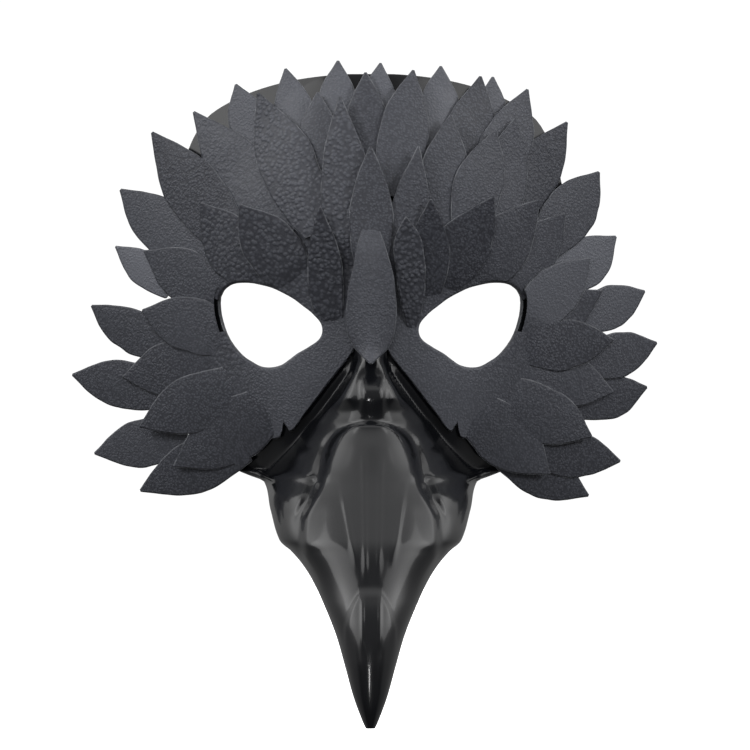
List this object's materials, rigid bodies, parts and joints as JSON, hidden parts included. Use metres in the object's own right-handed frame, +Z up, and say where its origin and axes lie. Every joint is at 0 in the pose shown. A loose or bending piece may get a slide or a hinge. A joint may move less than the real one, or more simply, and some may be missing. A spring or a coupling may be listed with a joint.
{
  "type": "mask",
  "caption": "Raven half mask with a glossy black hooked beak shell, layered leather leaf feathers, foam pads and an elastic head strap.",
  "frame": {"origin": "bridge of the nose, midway between the eye holes and level with their middles", "axes": "+X towards the wearer's left, -Y forward out of the face, +Z up"},
  "size_m": [0.2372, 0.2545, 0.264],
  "materials": {
    "shell": "glossy",
    "leather": "fine pebbled grain, semi matt",
    "foam": "matt closed-cell foam",
    "webbing": "woven elastic",
    "slider": "fine matt",
    "rivet": "black satin"
  },
  "bodies": {
    "mask": {"mask_shell": "shell", "eye_leather_left": "leather", "eye_leather_right": "leather", "crest_middle_left_1": "leather", "crest_middle_left_2": "leather", "crest_middle_left_3": "leather", "crest_middle_left_4": "leather", "crest_middle_left_5": "leather", "crest_middle_left_6": "leather", "crest_middle_right_1": "leather", "crest_middle_right_2": "leather", "crest_middle_right_3": "leather", "crest_middle_right_4": "leather", "crest_front_left_1": "leather", "crest_front_left_2": "leather", "crest_front_left_3": "leather", "crest_front_left_4": "leather", "crest_front_left_5": "leather", "crest_front_right_1": "leather", "brow_feather_left_1": "leather", "brow_feather_left_2": "leather", "brow_feather_left_3": "leather", "brow_feather_left_4": "leather", "brow_feather_left_5": "leather", "brow_feather_right_1": "leather", "brow_feather_right_2": "leather", "brow_feather_right_3": "leather", "bridge_feather": "leather", "temple_feather_left_1": "leather", "temple_feather_left_2": "leather", "temple_feather_right_1": "leather", "temple_feather_right_2": "leather", "temple_feather_right_3": "leather", "cheek_back_left_1": "leather", "cheek_back_left_2": "leather", "cheek_back_left_3": "leather", "cheek_back_left_4": "leather", "cheek_back_left_5": "leather", "cheek_back_right_1": "leather", "cheek_back_right_2": "leather", "cheek_back_right_3": "leather", "cheek_back_right_4": "leather", "cheek_front_left_1": "leather", "cheek_front_left_2": "leather", "cheek_front_left_3": "leather", "cheek_front_left_4": "leather", "cheek_front_left_5": "leather", "cheek_front_right_1": "leather", "cheek_front_right_2": "leather", "cheek_front_right_3": "leather", "cheek_front_right_4": "leather", "crest_back_row_left": "leather", "crest_back_row_right": "leather", "forehead_pad": "foam", "nose_pad": "foam", "head_strap": "webbing", "strap_rivet_left": "rivet", "strap_rivet_right": "rivet"},
    "slider": {"strap_slider": "slider"}
  },
  "joints": [
    {"name": "slider_travel", "type": "hinge", "parent": "mask", "child": "slider", "pos_m": [0, 0.06266, 0.038], "axis": [0, 0, 1], "range_deg": [-32, 32]}
  ]
}
